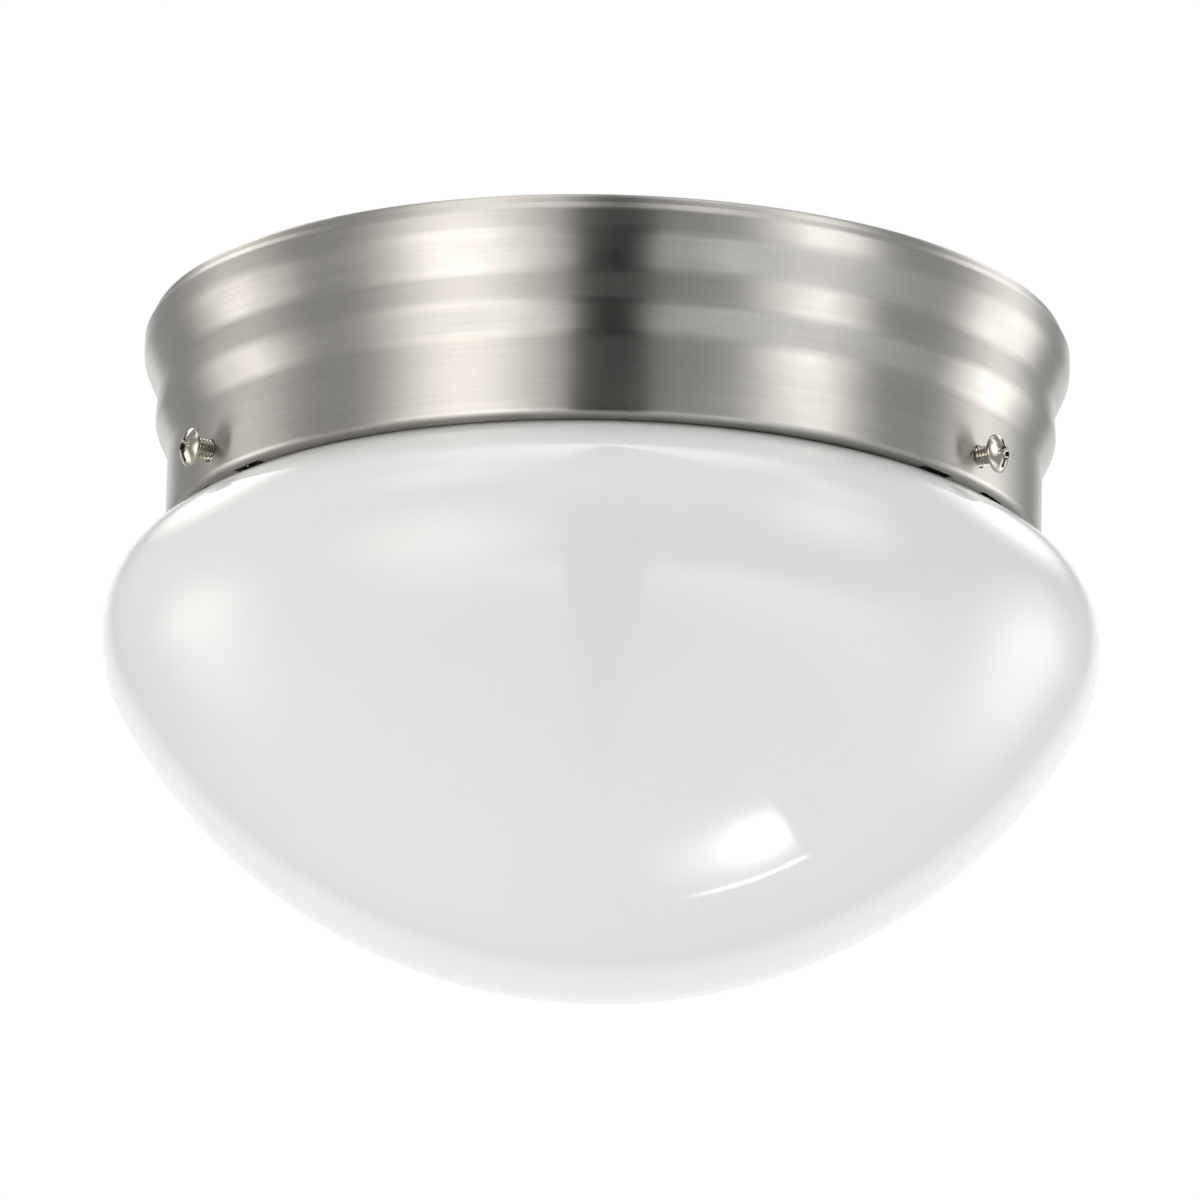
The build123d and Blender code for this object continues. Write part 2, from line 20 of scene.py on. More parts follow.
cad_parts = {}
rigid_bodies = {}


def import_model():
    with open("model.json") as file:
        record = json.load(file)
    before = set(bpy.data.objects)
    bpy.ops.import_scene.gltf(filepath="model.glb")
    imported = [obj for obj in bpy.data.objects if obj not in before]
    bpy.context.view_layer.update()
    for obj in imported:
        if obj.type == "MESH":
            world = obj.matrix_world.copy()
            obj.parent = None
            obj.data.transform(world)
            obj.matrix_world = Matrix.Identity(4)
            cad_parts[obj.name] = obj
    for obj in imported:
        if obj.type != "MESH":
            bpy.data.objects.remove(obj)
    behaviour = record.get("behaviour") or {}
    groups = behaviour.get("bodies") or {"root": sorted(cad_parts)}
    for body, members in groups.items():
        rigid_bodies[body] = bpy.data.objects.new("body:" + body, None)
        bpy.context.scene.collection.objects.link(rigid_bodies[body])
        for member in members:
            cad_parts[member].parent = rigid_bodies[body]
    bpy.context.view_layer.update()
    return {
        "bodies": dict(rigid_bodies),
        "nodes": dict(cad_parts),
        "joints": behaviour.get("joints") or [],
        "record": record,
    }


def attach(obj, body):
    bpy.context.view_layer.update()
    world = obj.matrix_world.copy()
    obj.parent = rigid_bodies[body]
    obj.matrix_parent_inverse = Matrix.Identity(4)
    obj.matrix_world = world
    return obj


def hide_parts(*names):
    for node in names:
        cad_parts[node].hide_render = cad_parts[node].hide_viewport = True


log = logging.getLogger("ceiling_light")

MM = 0.001
SHARP = 35.0  # edges sharper than this many degrees stay sharp
MIDDLE = (0.3, 0.7)  # the stretch of a noise that is used
CLOSE = 0.01  # heights within this many mm are the same
ON_PLANE = 1e-8  # metres within which a vertex lies on a cutting plane

Point = tuple[float, float]
Colour = tuple[float, float, float, float]
Tree = bpy.types.NodeTree
Socket = bpy.types.NodeSocket
Piece = bpy.types.Object
BMesh = bmesh.types.BMesh
BMVert = bmesh.types.BMVert


# ---- Small tools ----


def linear(code: str) -> Colour:
    """Turns an sRGB hex colour into linear values.

    Args:
        code: Six hex digits, such as "e4e5e4".

    Returns:
        Red, green and blue in linear light, and an alpha of 1.
    """
    channels = [int(code[i : i + 2], 16) / 255 for i in (0, 2, 4)]
    red, green, blue = (
        c / 12.92 if c <= 0.04045 else ((c + 0.055) / 1.055) ** 2.4 for c in channels
    )
    return red, green, blue, 1.0


def add_node(
    tree: Tree, kind: str, *values: Any, out: str | int = 0, **settings: Any
) -> Socket | None:
    """Adds a node with its settings and links.

    Args:
        tree: The node tree it goes into.
        kind: The node's type, without the ShaderNode in front.
        values: Its inputs in order, or one dictionary of them by name or number. An output socket
            as value makes a link.
        out: Which of its outputs comes back.
        settings: Properties of the node.

    Returns:
        That output, if the node has any.
    """
    node = tree.nodes.new(f"ShaderNode{kind}")
    for key, value in settings.items():
        setattr(node, key, value)
    named = values[0] if values and isinstance(values[0], dict) else dict(enumerate(values))
    for key, value in named.items():
        if isinstance(value, Socket):
            tree.links.new(value, node.inputs[key])
        else:
            node.inputs[key].default_value = value
    return node.outputs[out] if node.outputs else None


def product(tree: Tree, first: Any, *others: Any) -> Socket:
    """Multiplies values one after another.

    Args:
        tree: The node tree it goes into.
        first: The first value.
        others: The rest.

    Returns:
        Their product.
    """
    for other in others:
        first = add_node(tree, "Math", first, other, operation="MULTIPLY")
    return first


def fade(tree: Tree, value: Any, span: Point, low: float, high: float) -> Socket:
    """Smooth step of a value, from low to high over a span."""
    ends = (*span, low, high)
    return add_node(tree, "MapRange", value, *ends, interpolation_type="SMOOTHSTEP")


def window(tree: Tree, value: Any, opens: Point, closes: Point) -> Socket:
    """1 between two soft edges and 0 outside them."""
    return product(tree, fade(tree, value, opens, 0, 1), fade(tree, value, closes, 1, 0))


def smooth(piece: Piece, angle: float = SHARP) -> None:
    """Shades a piece smooth, but for edges sharper than an angle in degrees."""
    piece.data.shade_smooth()
    piece.data.set_sharp_from_angle(angle=math.radians(angle))


def make_object(name: str, mesh: BMesh, sharp: float = SHARP) -> Piece:
    """Turns a finished bmesh into an object that sits at the origin.

    Args:
        name: The piece's name.
        mesh: The bmesh, in metres; it is freed.
        sharp: Edges sharper than this many degrees stay sharp.

    Returns:
        The new object, linked into the scene.
    """
    data = bpy.data.meshes.new(name)
    mesh.to_mesh(data)
    mesh.free()
    piece = bpy.data.objects.new(name, data)
    smooth(piece, sharp)
    bpy.context.scene.collection.objects.link(piece)
    return piece


def clean(mesh: BMesh, distance: float = 0.002) -> None:
    """Merges doubles closer than a distance in millimetres and turns all faces outwards."""
    bmesh.ops.remove_doubles(mesh, verts=mesh.verts, dist=distance * MM)
    bmesh.ops.recalc_face_normals(mesh, faces=mesh.faces)


def points_of(parts: Iterable[Any]) -> list[BMVert]:
    """The vertices among the parts that an operator hands back."""
    return [part for part in parts if isinstance(part, BMVert)]


def spin(mesh: BMesh, parts: list[Any], angle: float, steps: int, **options: Any) -> list[BMVert]:
    """Sweeps vertices and edges round an axis, the light's own if no other is given.

    Args:
        mesh: The bmesh they are in.
        parts: The vertices and edges.
        angle: The whole turn in radians.
        steps: Straight pieces it is made of.
        options: Other settings of the operator.

    Returns:
        The vertices at the end of the sweep.
    """
    settings = {"cent": (0, 0, 0), "axis": (0, 0, 1), "dvec": (0, 0, 0), **options}
    spun = bmesh.ops.spin(mesh, geom=parts, angle=angle, steps=steps, **settings)
    return points_of(spun["geom_last"])


def round_points(mesh: BMesh, points: list[BMVert], reach: float, segments: int) -> None:
    """Rounds the corners of a line or a sheet.

    Args:
        mesh: The bmesh they are in.
        points: The corners.
        reach: How far from each corner the rounding starts, in metres.
        segments: Straight pieces of each rounding.
    """
    kind = {"affect": "VERTICES", "offset_type": "OFFSET", "profile": 0.5, "material": -1}
    bmesh.ops.bevel(mesh, geom=points, offset=reach, segments=segments, **kind)


def radial_place(angle: float, reach: float, height: float) -> Matrix:
    """Place of a piece whose own +Z is to point away from the light's axis.

    Args:
        angle: Degrees round the axis from +X.
        reach: Distance from the axis in millimetres.
        height: Millimetres above the ceiling plane.

    Returns:
        The matrix that takes the piece there, in metres.
    """
    out = Vector((math.cos(math.radians(angle)), math.sin(math.radians(angle)), 0))
    turn = out.to_track_quat("Z", "Y").to_matrix().to_4x4()
    return Matrix.Translation(out * reach * MM + Vector((0, 0, height * MM))) @ turn


def turn_about_z(angle: float) -> Matrix:
    """A turn by an angle in degrees round the light's axis."""
    return Matrix.Rotation(math.radians(angle), 4, "Z")


class Combine(Enum):
    """What a Boolean step does with its second piece."""

    CUT = "DIFFERENCE"
    JOIN = "UNION"


def boolean(piece: Piece, tool: Piece, operation: Combine) -> None:
    """Cuts or joins a piece with another, which is used up.

    Args:
        piece: The object whose mesh changes.
        tool: The object it is combined with; it is removed.
        operation: Whether it cuts or joins.
    """
    step = piece.modifiers.new("step", "BOOLEAN")
    step.operation = operation.value
    step.object = tool
    step.solver = "EXACT"
    graph = bpy.context.evaluated_depsgraph_get()
    result = bpy.data.meshes.new_from_object(piece.evaluated_get(graph), depsgraph=graph)
    piece.modifiers.clear()
    old = piece.data
    piece.data = result
    result.name = piece.name
    bpy.data.meshes.remove(old)
    bpy.data.meshes.remove(tool.data)


class Outline:
    """A line drawn in the plane through the light's axis: X is the radius and Z the height."""

    def __init__(self, start: Point) -> None:
        """Starts the line at a radius and height in millimetres.

        Args:
            start: Radius and height in millimetres.
        """
        self.mesh = bmesh.new()
        self.tip = self.mesh.verts.new((start[0] * MM, 0, start[1] * MM))
        self.corners: list[tuple[BMVert, float]] = []

    def line(self, to: Point, rounding: float = 0.0) -> Outline:
        """Draws a straight line.

        Args:
            to: Where it ends.
            rounding: Radius of the corner there, once the line goes on.

        Returns:
            The outline itself.
        """
        grown = bmesh.ops.extrude_vert_indiv(self.mesh, verts=[self.tip])
        self.tip = grown["verts"][0]
        self.tip.co = (to[0] * MM, 0, to[1] * MM)
        if rounding:
            self.corners.append((self.tip, rounding))
        return self

    def arc(self, centre: Point, turn: float, steps: int) -> Outline:
        """Draws an arc; a positive turn goes from +X towards +Z.

        Args:
            centre: The arc's centre.
            turn: Degrees.
            steps: Straight pieces it is made of.

        Returns:
            The outline itself.
        """
        about = {"cent": (centre[0] * MM, 0, centre[1] * MM), "axis": (0, -1, 0)}
        self.tip = spin(self.mesh, [self.tip], math.radians(turn), steps, **about)[0]
        return self

    def round_corners(self, segments: int) -> Outline:
        """Rounds each marked corner with an arc that is tangent to both its lines.

        Args:
            segments: Straight pieces of each arc.

        Returns:
            The outline itself.
        """
        for corner, radius in self.corners:
            one, two = (edge.other_vert(corner).co - corner.co for edge in corner.link_edges)
            reach = radius * MM / math.tan(one.angle(two) / 2)
            round_points(self.mesh, [corner], reach, segments)
        self.corners = []
        return self

    def divide(self, longest: float) -> Outline:
        """Divides every edge longer than a length in millimetres into equal ones.

        Args:
            longest: The length.

        Returns:
            The outline itself.
        """
        for edge in list(self.mesh.edges):
            cuts = math.ceil(edge.calc_length() / (longest * MM)) - 1
            if cuts > 0:
                bmesh.ops.subdivide_edges(self.mesh, edges=[edge], cuts=cuts)
        return self

    def revolve(self, steps: int) -> BMesh:
        """Turns the outline round the axis.

        Args:
            steps: Straight pieces of the turn.

        Returns:
            The bmesh, with its faces outwards.
        """
        spin(self.mesh, self.mesh.verts[:] + self.mesh.edges[:], math.tau, steps, use_merge=True)
        clean(self.mesh)
        return self.mesh


# ---- Finishes ----


@dataclass(frozen=True)
class Finish:
    """What all finishes share. A plain one is a colour with a fine unevenness."""

    name: str
    colour: str
    roughness: float
    metallic: float = 0.0
    grain: float = 0.6  # size of the unevenness, mm
    grain_depth: float = 0.01  # its height, mm
    blotch: float = 9.0  # size of the blotches of colour, in grains
    mottle: float = 0.06  # how far the colour strays
    stray: Point = (0.85, 1.15)  # how far the roughness strays, as shares of it
    sockets: tuple[tuple[str, Any], ...] = ()

    @cache
    def build(self) -> bpy.types.Material:
        """Makes the material, the first time that it is asked for.

        Returns:
            The material.
        """
        material = bpy.data.materials.new(self.name)
        material.use_nodes = True
        tree = material.node_tree
        tree.nodes.clear()
        inputs = {
            "Base Color": linear(self.colour),
            "Roughness": self.roughness,
            "Metallic": self.metallic,
            **dict(self.sockets),
        }
        shader = add_node(tree, "BsdfPrincipled", inputs)
        add_node(tree, "OutputMaterial", shader)
        place = add_node(tree, "TexCoord", out="Object")
        for name, value in self.pattern(tree, place).items():
            tree.links.new(value, shader.node.inputs[name])
        material.diffuse_color = linear(self.colour)
        return material

    def tone(self, tree: Tree, value: Socket) -> Socket:
        """The finish's own colour, taken down by the mottle where a value is 1.

        Args:
            tree: The material's nodes.
            value: The pattern, from 0 to 1.

        Returns:
            The colour.
        """
        channels = [int(self.colour[i : i + 2], 16) * (1 - self.mottle) for i in (0, 2, 4)]
        dark = linear("".join(f"{round(channel):02x}" for channel in channels))
        inputs = {0: value, 6: linear(self.colour), 7: dark}
        return add_node(tree, "Mix", inputs, out=2, data_type="RGBA")

    def gloss(self, tree: Tree, value: Socket) -> Socket:
        """The finish's roughness, which strays with a value."""
        low, high = (share * self.roughness for share in self.stray)
        return add_node(tree, "MapRange", value, *MIDDLE, low, high)

    def pattern(self, tree: Tree, place: Socket) -> dict[str, Socket]:
        """Adds the pattern: here a fine unevenness of colour, gloss and height.

        Args:
            tree: The material's nodes.
            place: Object coordinates.

        Returns:
            What goes into the shader's inputs.
        """
        fine, blotch = (
            add_node(tree, "TexNoise", {"Vector": place, "Scale": 1 / (size * MM), "Detail": 3.0})
            for size in (self.grain, self.blotch * self.grain)
        )
        bump = add_node(tree, "Bump", {"Height": fine, "Distance": self.grain_depth * MM})
        colour, gloss = self.tone(tree, blotch), self.gloss(tree, fine)
        return {"Base Color": colour, "Roughness": gloss, "Normal": bump}


@dataclass(frozen=True)
class BrushedNickel(Finish):
    """Satin nickel over drawn steel, brushed while it turns, so its lines run round the axis.

    The eye gets a highlight that is drawn out up and down, fine bright and dark lines round the
    pan, and here and there a short scratch.
    """

    mottle: float = 0.055
    stray: Point = (0.88, 1.12)
    patch: float = 14.0  # size of the duller patches, mm
    line: Point = (0.16, 15.0)  # across and along a brush line, mm; the real ones are finer
    broad: Point = (0.96, 45.0)  # the same for the broad lines
    scratch: Point = (0.22, 5.0)  # and for a scratch
    line_depth: float = 0.0013
    shares: Point = (0.6, 0.4)  # weight of the fine and of the broad lines
    contrast: Point = (0.35, 0.65)
    scratch_from: Point = (0.76, 0.80)  # only the noise above this makes scratches
    scratch_colour: str = "e6e2da"

    def streaks(self, tree: Tree, place: Socket, size: Point) -> Socket:
        """Noise that is long round the axis and narrow both along the radius and the height.

        Args:
            tree: The material's nodes.
            place: Object coordinates.
            size: Across and along a streak in millimetres.

        Returns:
            The noise's value.
        """
        across, along = (1 / (length * MM) for length in size)
        flat = add_node(tree, "VectorMath", place, (1, 1, 0), operation="MULTIPLY")
        reach = add_node(tree, "VectorMath", flat, operation="LENGTH", out="Value")
        squash = (along, along, across)
        inputs = {
            "Vector": add_node(tree, "VectorMath", place, squash, operation="MULTIPLY"),
            "W": add_node(tree, "Math", reach, across, operation="MULTIPLY"),
            "Scale": 1.0,
            "Detail": 2.0,
        }
        return add_node(tree, "TexNoise", inputs, noise_dimensions="4D")

    def pattern(self, tree: Tree, place: Socket) -> dict[str, Socket]:
        """Adds the brush lines, the scratches and the duller patches.

        Args:
            tree: The material's nodes.
            place: Object coordinates.

        Returns:
            What goes into the shader's inputs.
        """
        fine, broad, marks = (
            self.streaks(tree, place, size) for size in (self.line, self.broad, self.scratch)
        )
        both = add_node(tree, "Math", fine, self.shares[0], operation="MULTIPLY")
        both = add_node(tree, "Math", broad, self.shares[1], both, operation="MULTIPLY_ADD")
        colour = self.tone(tree, add_node(tree, "MapRange", both, *self.contrast, 0, 1))
        marks = add_node(tree, "MapRange", marks, *self.scratch_from, 0, 1)
        inputs = {0: marks, 6: colour, 7: linear(self.scratch_colour)}
        scale = 1 / (self.patch * MM)
        patch = add_node(tree, "TexNoise", {"Vector": place, "Scale": scale, "Detail": 3.0})
        return {
            "Tangent": add_node(tree, "Tangent", direction_type="RADIAL", axis="Z"),
            "Base Color": add_node(tree, "Mix", inputs, out=2, data_type="RGBA"),
            "Roughness": self.gloss(tree, patch),
            "Normal": add_node(tree, "Bump", {"Height": fine, "Distance": self.line_depth * MM}),
        }


@dataclass(frozen=True)
class OpalGlass(Finish):
    """Blown opal glass, fire polished: white through its thickness under a wet gloss.

    The eye gets soft white that glows a little at thin edges, sharp reflections that waver slightly
    where the glass was blown, and a few specks.
    """

    mottle: float = 0.012
    cloud: float = 60.0  # size of the clouds in the white, mm
    wave: float = 46.0  # length of the unevenness from blowing, mm
    wave_depth: float = 0.05
    speck_apart: float = 39.6  # distance between specks, mm
    speck_edge: Point = (0.004, 0.009)  # where a speck ends, as shares of that distance
    speck_colour: str = "b9b9b7"

    def pattern(self, tree: Tree, place: Socket) -> dict[str, Socket]:
        """Adds the waver of the surface, the clouds and the specks.

        Args:
            tree: The material's nodes.
            place: Object coordinates.

        Returns:
            What goes into the shader's inputs.
        """
        wave, cloud = (
            add_node(tree, "TexNoise", {"Vector": place, "Scale": 1 / (size * MM), "Detail": 1.0})
            for size in (self.wave, self.cloud)
        )
        scale = 1 / (self.speck_apart * MM)
        cells = add_node(tree, "TexVoronoi", {"Vector": place, "Scale": scale})
        speck = add_node(tree, "MapRange", cells, *self.speck_edge, 1, 0)
        inputs = {0: speck, 6: self.tone(tree, cloud), 7: linear(self.speck_colour)}
        return {
            "Base Color": add_node(tree, "Mix", inputs, out=2, data_type="RGBA"),
            "Normal": add_node(tree, "Bump", {"Height": wave, "Distance": self.wave_depth * MM}),
        }


@dataclass(frozen=True)
class FibrePad(Finish):
    """Pressed glass fibre: a matte felt of crossed strands, with paler and browner patches."""

    mottle: float = 0.32
    patch: float = 16.0  # size of the brown patches, mm
    patch_colour: str = "e3cf9a"
    patch_share: float = 0.5
    strand: float = 0.5  # width of a strand, mm
    stretch: float = 0.12  # its width over its length
    turns: Point = (0.5, 2.2)  # directions of the two layers, radians
    tangle: float = 0.6
    felt_depth: float = 0.5

    def pattern(self, tree: Tree, place: Socket) -> dict[str, Socket]:
        """Adds two layers of strands that cross, and the patches.

        Args:
            tree: The material's nodes.
            place: Object coordinates.

        Returns:
            What goes into the shader's inputs.
        """
        layers = []
        strand = {"Scale": 1 / (self.strand * MM), "Detail": 3.0, "Distortion": self.tangle}
        for turn in self.turns:
            inputs = {"Vector": place, "Rotation": (0, 0, turn), "Scale": (1, self.stretch, 1)}
            bent = add_node(tree, "Mapping", inputs)
            layers.append(add_node(tree, "TexNoise", {"Vector": bent, **strand}))
        felt = add_node(tree, "Math", *layers, operation="MAXIMUM")
        colour = self.tone(tree, add_node(tree, "MapRange", felt, *MIDDLE, 1, 0))
        scale = 1 / (self.patch * MM)
        patch = add_node(tree, "TexNoise", {"Vector": place, "Scale": scale, "Detail": 3.0})
        share = add_node(tree, "MapRange", patch, *MIDDLE, 0, self.patch_share)
        inputs = {0: share, 6: colour, 7: linear(self.patch_colour)}
        kind = {"data_type": "RGBA", "blend_type": "MULTIPLY"}
        return {
            "Base Color": add_node(tree, "Mix", inputs, out=2, **kind),
            "Normal": add_node(tree, "Bump", {"Height": felt, "Distance": self.felt_depth * MM}),
        }


@dataclass(frozen=True)
class CrinkledFoil(Finish):
    """Thin aluminium foil glued on fibre: bright, with small flat facets and creases."""

    facet: float = 7.0  # size of a facet, mm
    crease: float = 0.35  # depth of the creases, mm
    softness: float = 0.15

    def pattern(self, tree: Tree, place: Socket) -> dict[str, Socket]:
        """Adds the facets.

        Args:
            tree: The material's nodes.
            place: Object coordinates.

        Returns:
            What goes into the shader's inputs.
        """
        scale = 1 / (self.facet * MM)
        inputs = {"Vector": place, "Scale": scale, "Smoothness": self.softness}
        cells = add_node(tree, "TexVoronoi", inputs, feature="SMOOTH_F1")
        return {"Normal": add_node(tree, "Bump", {"Height": cells, "Distance": self.crease * MM})}


@dataclass(frozen=True)
class ZincPlate(Finish):
    """Bright zinc on stamped or turned steel: pale, a little blue, with faint spangle."""

    grain: float = 0.4
    grain_depth: float = 0.004
    mottle: float = 0.16
    stray: Point = (0.75, 1.35)
    smear: float = 7.0  # size of the smears, mm
    spangle: float = 1.6  # size of a crystal, mm

    def pattern(self, tree: Tree, place: Socket) -> dict[str, Socket]:
        """Adds the spangle to the colour and the smears to the gloss.

        Args:
            tree: The material's nodes.
            place: Object coordinates.

        Returns:
            What goes into the shader's inputs.
        """
        scale = 1 / (self.spangle * MM)
        cells = add_node(tree, "TexVoronoi", {"Vector": place, "Scale": scale}, out="Color")
        fine, smear = (
            add_node(tree, "TexNoise", {"Vector": place, "Scale": 1 / (size * MM), "Detail": 3.0})
            for size in (self.grain, self.smear)
        )
        bump = add_node(tree, "Bump", {"Height": fine, "Distance": self.grain_depth * MM})
        colour = self.tone(tree, add_node(tree, "SeparateColor", cells))
        return {"Base Color": colour, "Roughness": self.gloss(tree, smear), "Normal": bump}


BRUSHED_NICKEL = BrushedNickel(
    "brushed_satin_nickel",
    "cbc8c3",
    0.33,
    1.0,
    sockets=(("Anisotropic", 1.0), ("Anisotropic Rotation", 0.25)),
)
OPAL_GLASS = OpalGlass(
    "fire_polished_opal_glass",
    "f4f6f8",
    0.07,
    sockets=(
        ("IOR", 1.52),
        ("Subsurface Weight", 1.0),
        ("Subsurface Radius", (1.0, 1.0, 1.0)),
        ("Subsurface Scale", 0.004),
    ),
)
# Plated screws: small sharp glints on a warm mirror.
NICKEL_PLATE = Finish("bright_nickel_plate", "cfcac0", 0.12, 1.0, grain=0.5, grain_depth=0.004)
ZINC = ZincPlate("bright_zinc_plate", "c9cccd", 0.30, 1.0)
FOIL = CrinkledFoil("crinkled_aluminium_foil", "dcdcdd", 0.22, 1.0)
FIBRE = FibrePad("pressed_glass_fibre", "efe2b8", 0.95, sockets=(("Sheen Weight", 0.3),))
# The ground screw: a metal that shines green.
GREEN_ZINC = Finish("green_dyed_zinc", "2f7a48", 0.30, 0.7, grain=0.4)
# The bushing: black with a soft sheen and a fine orange peel.
NYLON = Finish("moulded_black_nylon", "1d1d1e", 0.45, grain=0.35, grain_depth=0.015, mottle=0.2)
# Rivets and shells: pale metal, the drawn one smoother.
RIVET_METAL = Finish("cold_headed_aluminium", "c4c5c8", 0.28, 1.0, grain=0.5)
DRAWN_ALUMINIUM = Finish(
    "bright_drawn_aluminium", "d2d3d5", 0.20, 1.0, grain=0.8, grain_depth=0.006
)
# The lampholder: creamy white under a thick glaze that pools a little.
PORCELAIN = Finish("glazed_porcelain", "efece4", 0.10, grain=2.5, grain_depth=0.03, mottle=0.03)
# Contacts and terminals: yellow, with darker handled spots.
BRASS = Finish("rolled_brass", "d0ab5c", 0.22, 1.0, grain=0.7, grain_depth=0.006, mottle=0.12)
# The bulb's foot: a black gloss round a dull, lumpy drop of tin.
BLACK_GLASS = Finish("black_vitrite_glass", "141416", 0.12, grain=1.2, mottle=0.3)
SOLDER = Finish("tin_solder", "b4b5b8", 0.35, 1.0, grain=0.9, grain_depth=0.03, mottle=0.15)
# The bulb's body: whites that differ in gloss, the diffuser soft at its edge.
HOUSING_PLASTIC = Finish("moulded_white_plastic", "ecebe8", 0.42, grain=0.3, mottle=0.02)
DIFFUSER_PLASTIC = Finish(
    "satin_diffuser_plastic",
    "f4f3f0",
    0.50,
    grain=0.4,
    mottle=0.02,
    sockets=(("Subsurface Weight", 0.4),),
)
# The bulb's boards: lacquers with a fine orange peel, and yellow chips.
BOARD_WHITE = Finish("white_solder_mask", "eceeed", 0.35, grain=0.8, mottle=0.03)
PHOSPHOR = Finish("led_phosphor", "e8cf4e", 0.45, grain=0.3, mottle=0.08)
BOARD_GREEN = Finish("green_solder_mask", "1f6238", 0.32, grain=0.8, mottle=0.15)


def dress(piece: Piece, finish: Finish) -> None:
    """Gives a piece one finish all over."""
    piece.data.materials.clear()
    piece.data.materials.append(finish.build())


# ---- Pieces ----


